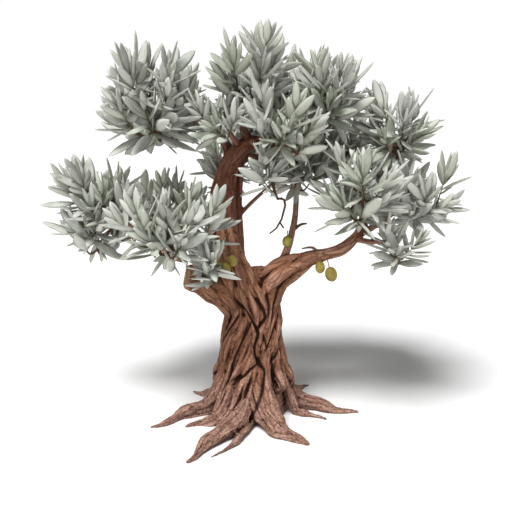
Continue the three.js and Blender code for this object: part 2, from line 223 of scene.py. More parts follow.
SEAM_TOP = 1.7  # no seam cuts higher than this
SEAM_REACH = 0.22  # how far out from the trunk's skin the seams still cut, as on its roots
FULL_SHADE_SEAM = 0.03  # a seam this deep gets the full painted shade
BACK_STRANDS = 10
STRAND_SINK = 0.5  # how deep a strand's middle lies under the trunk's skin, in radii
STRAND_DIVE = 0.075  # how far its two ends go in
STRAND_SIDES = 14
FLARE_TOP = 0.5  # the height below which strands spread out over the roots
CORE_SINK = 0.042  # how far the trunk's core lies under its strands
TUBE_STEPS = 44  # from end to end of a strand
FINE_STEPS = 400  # from end to end of a line that is only read from
# Strands wound on the main limbs: how many, how far out they lie and how thick they are, in
# radii of the limb, their turns from end to end, and how young the limb looks, from 0 to 1,
# which makes it redder and darker. The rear leader's 1.0 is partly painted shade: it is set
# darkest because it stands in the crown's shade.
LIMB_STRANDS = {
    "leader": (5, 0.53, 0.42, 0.35, 0.7),
    "rear_leader": (4, 0.5, 0.52, -0.3, 1.0),
    "stub": (6, 0.5, 0.46, 0.12, 0.15),
    "right_bough": (4, 0.46, 0.56, 0.55, 0.25),
}
LIMB_CORE = 0.94  # of a limb's radius, inside its strands
ROOT_STRANDS = (3, 0.47, 0.55)  # how many on a root, how far out and how thick
ROOT_CORE = 0.84
WOUND_SIDES = 12
BOUGH_STEPS = 40
BOUGH_YOUNG = 0.8

BARK_VOXEL = 0.0105
BARK_TRIANGLES = 194000  # that are left once its flattest edges are collapsed
GRAIN_STRETCH = 0.16  # of the true length along a limb, in the bark's grain
# How hollows are found: steps of smoothing, the depth under the smoothed skin that gets the
# full painted shade of a furrow, and the height over it that gets the full painted highlight of
# a ridge.
HOLLOW_SIZES = [(6, 0.008, 0.008), (60, 0.024, 0.02)]
SAW_REACH = 0.3  # from the end of the stub: what the saw may cut
BATCH = 4000  # points that are measured against every tube at once
SEED = 7
GOLDEN_ANGLE = math.pi * (3 - math.sqrt(5))
UP = np.array([0.0, 0.0, 1.0])

LEAF_LENGTH = 0.345
LEAF_SLENDER = 3.35  # length over width
LEAF_THICK = 0.019
LEAF_TILT = 80  # degrees between a leaf and its shoot at the shoot's foot
LEAF_STEEPER = 64  # degrees less at its tip
LEAF_DROOP = 0.22  # how far the leaves at its foot hang, as a share of their length
LEAVES_LEFT = 0.95  # of the leaves that haven't dropped
LEAF_STATIONS = np.array([0.0, 0.1, 0.28, 0.5, 0.72, 0.9, 0.995])  # shares of its length
# A leaf's section, a flat lens: eight points round it, as shares of half its size.
LENS_ACROSS = np.array([-1.0, -0.5, 0.0, 0.5, 1.0, 0.5, 0.0, -0.5])
LENS_HEIGHT = np.array([0.0, 0.9, 1.0, 0.9, 0.0, -0.9, -1.0, -0.9])
TURNED = [0, 3, 2, 1]  # a face's corners the other way round
SHOOT_LENGTH = 0.27
SHOOT_RADIUS = 0.0095
TWIG_STEPS = 9  # along a twig, a shoot or a stalk
TWIG_SIDES = 7
PAIRS = 6  # of leaves on a shoot
SPRAY_AREA = 0.2  # of a mass's outline that one spray covers
LEAF_MARGIN = 0.07  # how far leaf tips may stand out of their mass's own box

# Sprays that stand in front of the wood, besides those that the rule makes: where each starts,
# the way it grows, and its size.
FRONT_SPRAYS = {
    "foliage_left_front": [((-0.33, -0.6, 1.93), (0.35, -0.1, 0.93), 1.0)],
    "foliage_stub": [((-0.42, -0.5, 1.66), (0.15, -0.95, 0.1), 0.8)],
}

# Bare twigs, x, y, z and radius: a dead one that hangs under the inner right mass, its fork,
# and a spur and a shoot on the wood of the right.
BARE_TWIGS = [
    [(0.215, 0.1, 2.4, 0.017), (0.25, 0.1, 2.26, 0.015), (0.308, 0.1, 2.25, 0.014),
     (0.343, 0.1, 2.2, 0.012), (0.284, 0.1, 1.99, 0.011), (0.181, 0.08, 1.89, 0.008)],
    [(0.29, 0.1, 2.0, 0.01), (0.31, 0.1, 1.97, 0.009), (0.33, 0.1, 1.945, 0.007)],
    [(0.43, 0.0, 1.95, 0.02), (0.5, -0.02, 2.0, 0.014), (0.56, -0.03, 2.01, 0.008)],
    [(0.66, -0.13, 1.74, 0.016), (0.6, -0.16, 1.785, 0.013), (0.5, -0.17, 1.775, 0.007)],
]
OLIVE_RADIUS = 0.048
STALK_RADIUS = 0.005
# Olives that show from the front: x, y, z and radius.
OLIVES = [
    (0.357, -0.06, 1.829, 0.050), (0.687, -0.16, 1.583, 0.050), (0.797, -0.18, 1.515, 0.062),
    (-0.192, -0.45, 1.70, 0.048), (-0.25, -0.5, 1.64, 0.046), (-0.353, -0.47, 1.717, 0.045),
]

# Clear places in the leaves: each is a straight line of sight from the front viewpoint to a
# point in the tree, with the radius round that point that is kept free of leaves.
VIEWPOINT = (0.04, -7.21, 2.913)
LOOKS_DOWN = 9.78  # degrees
LIGHT_WAY = (2.6, 4.8, -8.6)
LIGHT_STRENGTH = 4.5
LIGHT_WIDTH = 26  # degrees across, which softens the edges of shadows
FLOOR_SIZE = 400
FLOOR_TONE = 0.84
OPENINGS = [
    ((0.02, -0.05, 2.86), 0.1),
    ((-0.06, -0.03, 2.82), 0.13),
    ((-0.14, -0.03, 2.74), 0.18),
    ((-0.25, 0.0, 2.52), 0.13),
    ((-0.24, 0.0, 2.3), 0.08),
    ((-0.62, -0.1, 1.47), 0.08),
    ((-0.33, -0.1, 1.36), 0.13),
    ((-0.26, -0.47, 1.69), 0.1),
    ((0.44, -0.1, 2.05), 0.12),
    ((0.3, -0.1, 2.2), 0.14),
]

BARK_LIGHT = (0.36, 0.168, 0.1)
BARK_PATCH = (0.25, 0.112, 0.062)
BARK_FOOT = (0.36, 0.215, 0.17)
BARK_RED = (0.145, 0.042, 0.024)
# Painted highlight on the bark's ridges.
BARK_RIDGE_HIGHLIGHT = (0.56, 0.355, 0.265)
BARK_STREAK = (0.11, 0.038, 0.019)
BARK_CRACK = (0.06, 0.02, 0.01)
BARK_DOT = (0.1, 0.04, 0.025)
# Painted shade in the bark's furrows and seams.
BARK_PAINTED_SHADE = (0.02, 0.007, 0.003)
CUT_WOOD = (0.4, 0.25, 0.14)
# Leaf finishes: name, upper face and under face; then each one's share of the sprays.
LEAF_TINTS = [
    ("leaf_sage", (0.46, 0.475, 0.425), (0.54, 0.545, 0.485)),
    ("leaf_silver", (0.535, 0.55, 0.505), (0.575, 0.585, 0.525)),
    ("leaf_green", (0.41, 0.44, 0.365), (0.51, 0.525, 0.445)),
]
TINT_SHARES = [0.5, 0.3, 0.2]
# Painted shade along each leaf's rim.
LEAF_RIM_SHADE = (0.15, 0.155, 0.12)
# A leaf's foot: its own yellower green, darkened with painted shade near the shoot.
LEAF_FOOT_TINT_AND_SHADE = (0.19, 0.185, 0.1)


# ---- paths, tubes and noise, on whole arrays ----


def spline(stations, count):
    """Catmull-Rom curve through the rows, evenly spread over the gaps between them: each point
    is half of 2b + (c-a)t + (2a-5b+4c-d)t^2 + (3b-a-3c+d)t^3 for the rows a, b, c, d around it.
    """
    rows = np.asarray(stations, float)
    rows = np.vstack([2 * rows[0] - rows[1], rows, 2 * rows[-1] - rows[-2]])
    place = np.linspace(0, len(rows) - 3, count)
    first = np.minimum(place.astype(int), len(rows) - 4)
    t = (place - first)[:, None]
    a, b, c, d = (rows[first + k] for k in range(4))
    cubic = (3 * b - a - 3 * c + d) * t**3
    return 0.5 * (2 * b + (c - a) * t + (2 * a - 5 * b + 4 * c - d) * t**2 + cubic)


def unit(vectors):
    """Each row over its own length."""
    return vectors / np.maximum(np.linalg.norm(vectors, axis=-1, keepdims=True), 1e-9)


def frames_along(paths):
    """Tangents of paths (paths, steps, 3), and two directions across that turn as little as
    they can: each step's normal is the one before it, less its part along the new tangent."""
    tangent = unit(np.gradient(paths, axis=1))
    across = np.where(np.abs(tangent[:, 0, 2:]) > 0.8, [[1.0, 0.0, 0.0]], [[0.0, 0.0, 1.0]])
    normal = np.empty_like(tangent)
    for step in range(paths.shape[1]):
        along = tangent[:, step]
        across = unit(across - (across * along).sum(-1, keepdims=True) * along)
        normal[:, step] = across
    return tangent, normal, np.cross(tangent, normal)


def ring_quads(rings, sides):
    """The faces between each ring of points and the next. A face's corners are two
    neighbours on one ring, then the two across from them on the next, going round."""
    step, side = np.meshgrid(np.arange(rings - 1), np.arange(sides), indexing="ij")
    after = (side + 1) % sides
    near, far = step * sides, (step + 1) * sides
    return np.stack([near + side, near + after, far + after, far + side], -1).reshape(-1, 4)


def repeated(faces, copies, points):
    """The same faces for each of several copies that have so many points each."""
    shift = np.arange(copies)[:, None, None] * points
    return (faces[None] + shift).reshape(-1, faces.shape[1])


def tubes(rows, sides):
    """Closed tubes along paths of x, y, z, radius (paths, steps, 4): a ring of so many sides
    round each step, and a middle point that closes each end. Gives points and faces."""
    rows = np.asarray(rows, float)
    count, steps = rows.shape[:2]
    tangent, normal, binormal = frames_along(rows[..., :3])
    turn = np.linspace(0, 2 * np.pi, sides, endpoint=False)
    ring = (
        np.cos(turn)[:, None] * normal[:, :, None, :]
        + np.sin(turn)[:, None] * binormal[:, :, None, :]
    )
    points = rows[:, :, None, :3] + rows[:, :, None, 3:] * ring
    points = np.concatenate([points.reshape(count, -1, 3), rows[:, :1, :3], rows[:, -1:, :3]], 1)
    side = np.arange(sides)
    after = (side + 1) % sides
    last = (steps - 1) * sides
    foot = np.stack([after, side, np.full(sides, steps * sides)], -1)
    head = np.stack([last + side, last + after, np.full(sides, steps * sides + 1)], -1)
    each = points.shape[1]
    return (
        points.reshape(-1, 3),
        repeated(ring_quads(steps, sides), count, each),
        repeated(np.vstack([foot, head]), count, each),
    )


def joined(parts):
    """Several (points, quads, triangles) as one."""
    shift = np.cumsum([0] + [len(points) for points, _, _ in parts[:-1]])
    return (
        np.vstack([points for points, _, _ in parts]),
        np.vstack([quads + by for (_, quads, _), by in zip(parts, shift)]),
        np.vstack([tris + by for (_, _, tris), by in zip(parts, shift)]),
    )


def scramble(cells, seed):
    """A fixed random number from 0 to 1 for each whole-number row."""
    mixed = cells[..., 0] * 374761393 + cells[..., 1] * 668265263 + cells[..., 2] * 2147483647
    mixed = (mixed + seed * 1442695041) & 0xFFFFFFFF
    mixed = ((mixed ^ (mixed >> 13)) * 1274126177) & 0xFFFFFFFF
    return ((mixed ^ (mixed >> 16)) & 0xFFFF) / 65535.0


def noise(points, scale, seed):
    """Smooth random values from -1 to 1: a random number at each corner of a grid of unit
    cubes, blended with the weights 3t^2 - 2t^3 along each axis."""
    place = points * scale + 31.7
    cell = np.floor(place).astype(np.int64)
    t = place - cell
    t = t * t * (3 - 2 * t)
    total = np.zeros(len(points))
    for corner in np.ndindex(2, 2, 2):
        weight = np.where(np.array(corner) == 1, t, 1 - t).prod(-1)
        total += weight * scramble(cell + np.array(corner), seed)
    return 2 * total - 1


# ---- meshes and pieces ----


def set_points(mesh, points):
    mesh.vertices.foreach_set("co", np.asarray(points, np.float32).ravel())


def set_smooth(mesh):
    mesh.polygons.foreach_set("use_smooth", np.ones(len(mesh.polygons), bool))


def set_attribute(mesh, name, values, kind="FLOAT"):
    attribute = mesh.attributes.new(name, kind, "POINT")
    field = "vector" if kind == "FLOAT_VECTOR" else "value"
    attribute.data.foreach_set(field, np.asarray(values, np.float32).ravel())


def new_mesh(name, points, quads, tris=np.empty((0, 3), int)):
    mesh = bpy.data.meshes.new(name)
    loops = np.concatenate([quads.ravel(), tris.ravel()]).astype(np.int32)
    sizes = np.concatenate([np.full(len(quads), 4), np.full(len(tris), 3)]).astype(np.int32)
    mesh.vertices.add(len(points))
    set_points(mesh, points)
    mesh.loops.add(len(loops))
    mesh.loops.foreach_set("vertex_index", loops)
    mesh.polygons.add(len(sizes))
    mesh.polygons.foreach_set("loop_start", np.concatenate([[0], np.cumsum(sizes)[:-1]]))
    mesh.update(calc_edges=True)
    mesh.validate()
    set_smooth(mesh)
    return mesh


def new_piece(name, mesh, materials, nodes):
    """A finished piece on the tree's one body, standing for the nodes it covers."""
    for material in materials:
        mesh.materials.append(material)
    piece = bpy.data.objects.new(name, mesh)
    bpy.context.scene.collection.objects.link(piece)
    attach(piece, "root")
    if nodes:
        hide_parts(*nodes)
    return piece


def worked(mesh, kind, **settings):
    """The mesh that one modifier makes of a mesh."""
    rough = bpy.data.objects.new("rough", mesh)
    bpy.context.scene.collection.objects.link(rough)
    modifier = rough.modifiers.new("work", kind)
    for name, value in settings.items():
        setattr(modifier, name, value)
    result = bpy.data.meshes.new_from_object(
        rough.evaluated_get(bpy.context.evaluated_depsgraph_get())
    )
    bpy.data.objects.remove(rough)
    return result


def vertex_rows(mesh, field):
    """A row of three numbers for each vertex: its place, co, or its normal."""
    flat = np.empty(len(mesh.vertices) * 3, np.float32)
    mesh.vertices.foreach_get(field, flat)
    return flat.reshape(-1, 3).astype(float)


def edges_of(mesh):
    flat = np.empty(len(mesh.edges) * 2, np.int32)
    mesh.edges.foreach_get("vertices", flat)
    return flat.reshape(-1, 2)


def averaged(values, edges):
    """Each point's mean of its neighbours' values along the edges."""
    total = np.zeros_like(values)
    count = np.zeros(len(values))
    for here, there in ((0, 1), (1, 0)):
        np.add.at(count, edges[:, here], 1)
        for k in range(values.shape[1]):
            total[:, k] += np.bincount(edges[:, here], values[edges[:, there], k], len(values))
    return total / np.maximum(count, 1)[:, None]


# ---- materials ----


def node_maker(owner):
    """The owner's nodes: a call adds one node, sets its values and links its inputs."""
    tree = owner.node_tree

    def make(kind, inputs=None, **settings):
        node = tree.nodes.new("ShaderNode" + kind)
        for key, value in settings.items():
            setattr(node, key, value)
        for key, value in (inputs or {}).items():
            if isinstance(value, bpy.types.NodeSocket):
                tree.links.new(value, node.inputs[key])
            else:
                node.inputs[key].default_value = value
        return node

    return make


def new_material(name, specular):
    material = bpy.data.materials.new(name)
    material.use_nodes = True
    shader = material.node_tree.nodes["Principled BSDF"]
    shader.inputs["Specular IOR Level"].default_value = specular
    return material, node_maker(material), shader


def attribute(make, name, output="Fac"):
    return make("Attribute", attribute_name=name).outputs[output]


def object_place(make):
    return make("TexCoord").outputs["Object"]


def mottling(make, place, scale, detail):
    return make("TexNoise", {"Vector": place, "Scale": scale, "Detail": detail}).outputs["Fac"]


def arithmetic(make, operation, first, second=0.0):
    return make("Math", {0: first, 1: second}, operation=operation).outputs[0]


def ramp(make, value, low, high, to_low=0.0, to_high=1.0):
    """Goes smoothly from to_low to to_high as the value goes from low to high."""
    node = make(
        "MapRange",
        {"Value": value, "From Min": low, "From Max": high, "To Min": to_low, "To Max": to_high},
        interpolation_type="SMOOTHSTEP",
    )
    return node.outputs["Result"]


def painted(make, colour, *coats):
    """A colour under coats. Each coat is how thickly it lies, from 0 to 1, and its colour."""
    for thickness, coat in coats:
        under, over = ((*c, 1) if isinstance(c, tuple) else c for c in (colour, coat))
        mix = make("Mix", {0: thickness, 6: under, 7: over}, data_type="RGBA")
        colour = mix.outputs[2]
    return colour


def finish(make, shader, colour, rough, relief, strength, depth):
    """Gives a shader its colour and roughness, and a bump from the relief."""
    bump = make("Bump", {"Height": relief, "Strength": strength, "Distance": depth})
    sockets = {"Base Color": colour, "Roughness": rough, "Normal": bump.outputs["Normal"]}
    for name, socket in sockets.items():
        shader.id_data.links.new(socket, shader.inputs[name])


def bark_material():
    """Brown bark with painted shade in its furrows and seams and a painted highlight on its
    ridges, streaked along the limbs, redder on the young limbs, darkest red on the rear leader as
    painted shade, and greyer, with speckles, on the roots."""
    material, make, shader = new_material("bark", 0.12)
    grain = attribute(make, "grain", "Vector")
    furrow_shade, youth_and_shade, ridge_highlight, cut = (
        attribute(make, name) for name in ("furrow_shade", "youth_and_shade", "ridge_highlight", "cut")
    )
    place = object_place(make)
    height = make("SeparateXYZ", {"Vector": place}).outputs["Z"]
    streaks = mottling(make, grain, 34, 6)
    patches = mottling(make, place, 4.5, 3)
    speckle = mottling(make, place, 48, 4)
    flakes = make("TexVoronoi", {"Vector": grain, "Scale": 46}).outputs["Distance"]
    cracks = make("TexVoronoi", {"Vector": grain, "Scale": 21},
                  feature="DISTANCE_TO_EDGE").outputs["Distance"]
    cracked = ramp(make, cracks, 0.0, 0.07, 0.6, 0.0)
    dots = arithmetic(make, "MULTIPLY", ramp(make, speckle, 0.54, 0.4),
                      ramp(make, height, 0.9, 0.15, 0.25, 0.6))
    colour = painted(
        make, BARK_LIGHT,
        (ramp(make, patches, 0.35, 0.68), BARK_PATCH),
        (ramp(make, height, 0.62, 0.12), BARK_FOOT),
        # Young limbs redder; on the rear leader this dark red is partly painted shade.
        (ramp(make, youth_and_shade, 0.2, 1.0, 0, 0.9), BARK_RED),
        # Painted highlight on the ridges.
        (ramp(make, ridge_highlight, 0.1, 0.9, 0, 0.6), BARK_RIDGE_HIGHLIGHT),
        (ramp(make, streaks, 0.34, 0.6, 0.55, 0.0), BARK_STREAK),
        (cracked, BARK_CRACK),
        (dots, BARK_DOT),
        # Painted shade in the furrows and seams.
        (ramp(make, furrow_shade, 0.05, 0.55), BARK_PAINTED_SHADE),
        (cut, CUT_WOOD),
    )
    relief = arithmetic(make, "ADD", streaks, flakes)
    relief = arithmetic(make, "ADD", relief, speckle)
    relief = arithmetic(make, "SUBTRACT", relief, cracked)
    finish(make, shader, colour, ramp(make, streaks, 0.2, 0.8, 0.66, 0.92), relief, 0.7, 0.014)
    return material


def leaf_material(name, upper, under):
    """Matt leaf: a dusty upper face, a paler under face, a faint midrib, painted shade along the
    rim, a foot that is yellower in its own colour and darkened with painted shade, and soft
    mottling."""
    material, make, shader = new_material(name, 0.22)
    place = object_place(make)
    parts = make("SeparateXYZ", {"Vector": make("UVMap", uv_map="leaf").outputs["UV"]})
    fine = mottling(make, place, 70, 3)
    from_rib = arithmetic(make, "SUBTRACT", parts.outputs["Y"], 0.5)
    from_rib = arithmetic(make, "ABSOLUTE", from_rib)
    colour = painted(
        make, upper,
        (ramp(make, mottling(make, place, 9, 3), 0.35, 0.7), tuple(0.78 * c for c in upper)),
        (attribute(make, "under"), under),
        (ramp(make, from_rib, 0.07, 0.0, 0, 0.3), tuple(1.12 * c for c in under)),
        # Painted shade along the rim.
        (ramp(make, from_rib, 0.36, 0.5, 0, 0.6), LEAF_RIM_SHADE),
        # The foot's own yellower green, and painted shade near the shoot.
        (ramp(make, parts.outputs["X"], 0.3, 0.0, 0, 0.7), LEAF_FOOT_TINT_AND_SHADE),
    )
    finish(make, shader, colour, ramp(make, fine, 0.3, 0.7, 0.54, 0.72), fine, 0.25, 0.003)
    return material


def twig_material():
    """Olive-brown, mottled twigs with paler lenticels."""
    material, make, shader = new_material("twig_bark", 0.25)
    place = object_place(make)
    spots = mottling(make, place, 90, 2)
    colour = painted(
        make, (0.075, 0.055, 0.028),
        (ramp(make, mottling(make, place, 14, 4), 0.35, 0.65), (0.15, 0.075, 0.042)),
        (ramp(make, spots, 0.6, 0.75, 0, 0.5), (0.24, 0.2, 0.14)),
    )
    finish(make, shader, colour, ramp(make, spots, 0.3, 0.7, 0.6, 0.85), spots, 0.4, 0.004)
    return material


def olive_material():
    """Waxy yellow-green fruit with pale freckles and a browner blush."""
    material, make, shader = new_material("olive_skin", 0.45)
    place = object_place(make)
    blush = mottling(make, place, 11, 3)
    freckles = mottling(make, place, 150, 2)
    colour = painted(
        make, (0.38, 0.33, 0.05),
        (ramp(make, blush, 0.38, 0.66), (0.25, 0.18, 0.03)),
        (ramp(make, freckles, 0.62, 0.74, 0, 0.45), (0.55, 0.52, 0.18)),
    )
    finish(make, shader, colour, ramp(make, blush, 0.3, 0.7, 0.3, 0.46), freckles, 0.15, 0.002)
    return material


# ---- the wood ----


def mass_middle(node):
    low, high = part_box(node)
    return (np.array(low) + np.array(high)) / 2


def limb_stations(name):
    """A main limb's own stations, or those of a bough: on the straight line from its place on
    its parent to its mass, pushed aside by 4t(1-t) of its bend, and tapering evenly."""
    if name in LIMBS:
        return np.array(LIMBS[name])
    parent, share, mass, radius, bend = BOUGHS[name]
    start = spline(limb_stations(parent), FINE_STEPS + 1)[round(share * FINE_STEPS), :3]
    t = np.linspace(0, 1, 5)[:, None]
    line = start + t * BOUGH_END * (mass_middle(mass) - start) + 4 * t * (1 - t) * np.array(bend)
    return np.hstack([line, radius * (1 + (BOUGH_TAPER - 1) * t)])


def limb_rows(name, steps=48):
    return spline(limb_stations(name), steps)


def trunk_at(height):
    """The trunk's middle and radius at a height."""
    place = np.clip(np.asarray(height) / TRUNK_HEIGHT, 0, 1) * FINE_STEPS
    table = spline(np.column_stack([TRUNK_LEAN, TRUNK_RADIUS]), FINE_STEPS + 1)
    steps = np.arange(FINE_STEPS + 1)
    return np.interp(place, steps, table[:, 0]), np.interp(place, steps, table[:, 1])


def trunk_core():
    """The column under the strands: ellipses whose radius follows the trunk's profile, less
    the depth of the strands, rounded in over its top by sqrt(1 - 0.8 d^2)."""
    height = np.linspace(-0.05, TRUNK_HEIGHT - 0.04, 40)
    middle, radius = trunk_at(height)
    dome = np.maximum(0, (height / TRUNK_HEIGHT - 1) / 0.14 + 1)
    radius = (radius - CORE_SINK) * np.sqrt(1 - 0.8 * dome**2)
    points, quads, tris = tubes(np.column_stack([middle, 0 * height, height, radius])[None], 48)
    points[:, 1] *= DEPTH_SHARE
    return points, quads, tris


def strand_rows(radius, stations):
    """A strand's middle line on the trunk: at each height it lies along its azimuth, as far
    out as the trunk's skin less its sunk share, and further out over the roots. It thins to
    both ends as sin(pi t)^0.4, and dives under the skin there as (2t - 1)^6."""
    azimuth, height = spline(stations, TUBE_STEPS).T
    middle, skin = trunk_at(height)
    t = np.linspace(0.06, 0.94, TUBE_STEPS)
    thick = 0.78 * radius * np.sin(np.pi * t) ** 0.4
    dive = np.linspace(-1, 1, TUBE_STEPS) ** 6
    flare = 0.5 * np.maximum(0, FLARE_TOP - height) * (1 - dive) - STRAND_DIVE * dive
    out = skin - STRAND_SINK * thick + 0.006 + flare
    angle = np.radians(azimuth)
    return np.column_stack([
        middle + out * np.cos(angle), DEPTH_SHARE * out * np.sin(angle), height, thick,
    ])


def swaying(azimuth, lean, low, high, sway):
    """Stations of azimuth and height that climb from low to high, lean across an azimuth and
    sway from side to side."""
    t = np.linspace(0, 1, len(sway))
    return np.column_stack([azimuth + lean * (t - 0.5) + sway, low + (high - low) * t])


def back_strands(random):
    """Strands round the sides and back: they climb from the roots and sway as they go, each
    leaning the other way from the one beside it, so that they cross like rope."""
    rows = []
    for k in range(BACK_STRANDS):
        azimuth = 8 + k * 172 / (BACK_STRANDS - 1)
        lean = (24 if k % 2 else -20) + random.uniform(-6, 6)
        low, high = random.uniform(0.12, 0.3), random.uniform(1.2, 1.48)
        stations = swaying(azimuth, lean, low, high, random.uniform(-14, 14, 5))
        rows.append(strand_rows(random.uniform(0.052, 0.08), stations))
        if k % 2:
            short = stations[1:4].copy()
            short[:, 0] -= 1.6 * lean * np.array([0, 0.4, 1])
            rows.append(strand_rows(random.uniform(0.045, 0.06), short))
    return rows


def seams(random):
    """The seams of the front, and more round the sides and back that sway like its strands."""
    lines = [(depth, spline(stations, SEAM_STEPS)) for depth, stations in SEAMS]
    for k in range(BACK_SEAMS):
        azimuth = 2 + k * 184 / (BACK_SEAMS - 1)
        lean = (30 if k % 3 else -34) + random.uniform(-8, 8)
        low = random.uniform(0.12, 0.9)
        high = low + random.uniform(0.3, 0.8)
        stations = swaying(azimuth, lean, low, high, random.uniform(-9, 9, 5))
        lines.append((random.uniform(0.014, 0.032), spline(stations, SEAM_STEPS)))
    return lines


def seam_depth(points, lines):
    """How deep the seams cut at each point. Each cuts its depth times a narrow and a wide bell,
    0.6 exp(-(d / width)^2) + 0.4 exp(-(d / shoulder)^2), where d is the distance to it round
    and up the trunk's skin, and it fades out at its two ends. Also how much painted shade lies
    in it: the narrow bell.
    """
    middle, skin = trunk_at(points[:, 2])
    azimuth = np.degrees(np.arctan2(points[:, 1] / DEPTH_SHARE, points[:, 0] - middle))
    out = np.hypot(points[:, 1] / DEPTH_SHARE, points[:, 0] - middle)
    deepest, seam_shading = np.zeros(len(points)), np.zeros(len(points))
    near = np.flatnonzero((points[:, 2] < SEAM_TOP) & (out < skin + SEAM_REACH))
    fade = np.sin(np.pi * np.linspace(0.02, 0.98, SEAM_STEPS)) ** 0.6
    for depth, stations in lines:
        round_by = (azimuth[near, None] - stations[:, 0] + 180) % 360 - 180
        aside = np.radians(round_by) * skin[near, None]
        apart = (aside**2 + (points[near, 2:3] - stations[:, 1]) ** 2).astype(np.float32)
        closest = apart.argmin(1)
        square = apart[np.arange(len(near)), closest]
        narrow = fade[closest] * np.exp(-square / SEAM_WIDTH**2)
        wide = fade[closest] * np.exp(-square / SEAM_SHOULDER**2)
        deepest[near] = np.maximum(deepest[near], depth * (0.6 * narrow + 0.4 * wide))
        seam_shading[near] = np.maximum(seam_shading[near], min(1, depth / FULL_SHADE_SEAM) * narrow)
    return deepest, seam_shading


def root_rows(azimuth, reach, radius, swing, rise, random, steps=60):
    """A root's middle line: down the trunk as a strand that thickens and turns, over its
    shoulder, and out along the ground, where it winds and thins to a point."""
    shoulder = azimuth + swing
    stations = np.array([
        (shoulder + rise, 0.27 - 0.3 * radius, 1.04, 0.4 * radius),
        (shoulder + 0.6 * rise, 0.31 - 0.6 * radius, 0.72, 0.7 * radius),
        (shoulder + 0.1 * rise, 0.385 - 0.85 * radius, 0.4, 0.94 * radius),
        (azimuth + 0.8 * swing, 0.46, 0.9 * radius, 0.88 * radius),
        (azimuth + 0.45 * swing, 0.55 * reach + 0.1, 0.45 * radius, 0.66 * radius),
        (azimuth + 0.1 * swing, 0.8 * reach, 0.2 * radius, 0.4 * radius),
        (azimuth, reach, 0.03 * radius, 0.12 * radius),
    ])
    rows = spline(stations, steps)
    t = np.linspace(0, 1, steps)
    wind = 3.5 * np.sin(2 * np.pi * (1.6 * t + random.uniform())) * np.clip(2 * t - 0.9, 0, 1)
    angle = np.radians(rows[:, 0] + wind)
    knots = 1 + 0.12 * np.sin(2 * np.pi * (4.1 * t + random.uniform())) * np.clip(3 * t - 1, 0, 1)
    depth = 1 - (1 - DEPTH_SHARE) * np.clip(rows[:, 2] / 0.7, 0, 1)
    return np.column_stack([
        rows[:, 1] * np.cos(angle), depth * rows[:, 1] * np.sin(angle), rows[:, 2],
        rows[:, 3] * knots,
    ])


def strands_round(rows, count, out, thick, turns, phase):
    """Strands wound on a limb: middles on a circle of out radii round its line, so many radii
    thick, going round so many turns from end to end."""
    _, normal, binormal = (part[0] for part in frames_along(rows[None, :, :3]))
    t = np.linspace(0, 1, len(rows))
    wound = []
    for k in range(count):
        angle = phase + 2 * np.pi * (k / count + turns * t)
        aside = np.cos(angle)[:, None] * normal + np.sin(angle)[:, None] * binormal
        swell = 1 + 0.14 * np.sin(2 * np.pi * (2.2 * t + 0.37 * k + phase))
        wound.append(np.column_stack([
            rows[:, :3] + out * rows[:, 3:] * aside, thick * rows[:, 3] * swell,
        ]))
    return wound


def wood_lines():
    """Every tube of the wood: rows of x, y, z, radius, how many sides, and how young it is, which
    on the rear leader is partly painted shade.
    """
    random = np.random.default_rng(SEED)
    strands = [strand_rows(radius, stations) for radius, stations in FRONT_STRANDS]
    strands += back_strands(random)
    lines = [(rows, STRAND_SIDES, 0.0) for rows in strands]
    for root in ROOTS:
        rows = root_rows(*root, random)
        lines.append((rows * [1, 1, 1, ROOT_CORE], STRAND_SIDES, 0.0))
        turns = random.uniform(-0.6, 0.6)
        for strand in strands_round(rows, *ROOT_STRANDS, turns, root[0]):
            lines.append((strand, WOUND_SIDES, 0.0))
    lines += [(spline(stations, TUBE_STEPS), 20, 0.0) for stations in FORK_BODIES]
    # A fork strand comes out of the trunk, thin at first, over the lower half of its length.
    rise = np.clip(np.linspace(0, 1.9, TUBE_STEPS), 0, 1)[:, None]
    for stations in FORK_STRANDS:
        rows = spline(stations, TUBE_STEPS)
        rows[:, :2] *= 0.72 + 0.28 * rise
        rows[:, 3:] *= 0.2 + 0.75 * rise
        lines.append((rows, STRAND_SIDES, 0.0))
    for name, (count, out, thick, turns, youth_and_shade) in LIMB_STRANDS.items():
        rows = limb_rows(name, 60)
        lines.append((rows * [1, 1, 1, LIMB_CORE], 16, youth_and_shade))
        for strand in strands_round(rows, count, out, thick, turns, 0.7):
            lines.append((strand, WOUND_SIDES, youth_and_shade))
    lines += [(limb_rows(name, BOUGH_STEPS), WOUND_SIDES, BOUGH_YOUNG) for name in BOUGHS]
    return lines


def melted(lines):
    """One closed skin round the trunk's core and every tube, made on a grid of voxels."""
    parts = [trunk_core()]
    for steps, sides in sorted({(len(rows), sides) for rows, sides, _ in lines}):
        same = [rows for rows, n, _ in lines if (len(rows), n) == (steps, sides)]
        parts.append(tubes(np.array(same), sides))
    tubing = new_mesh("tubing", *joined(parts))
    return worked(tubing, "REMESH", mode="VOXEL", voxel_size=BARK_VOXEL)


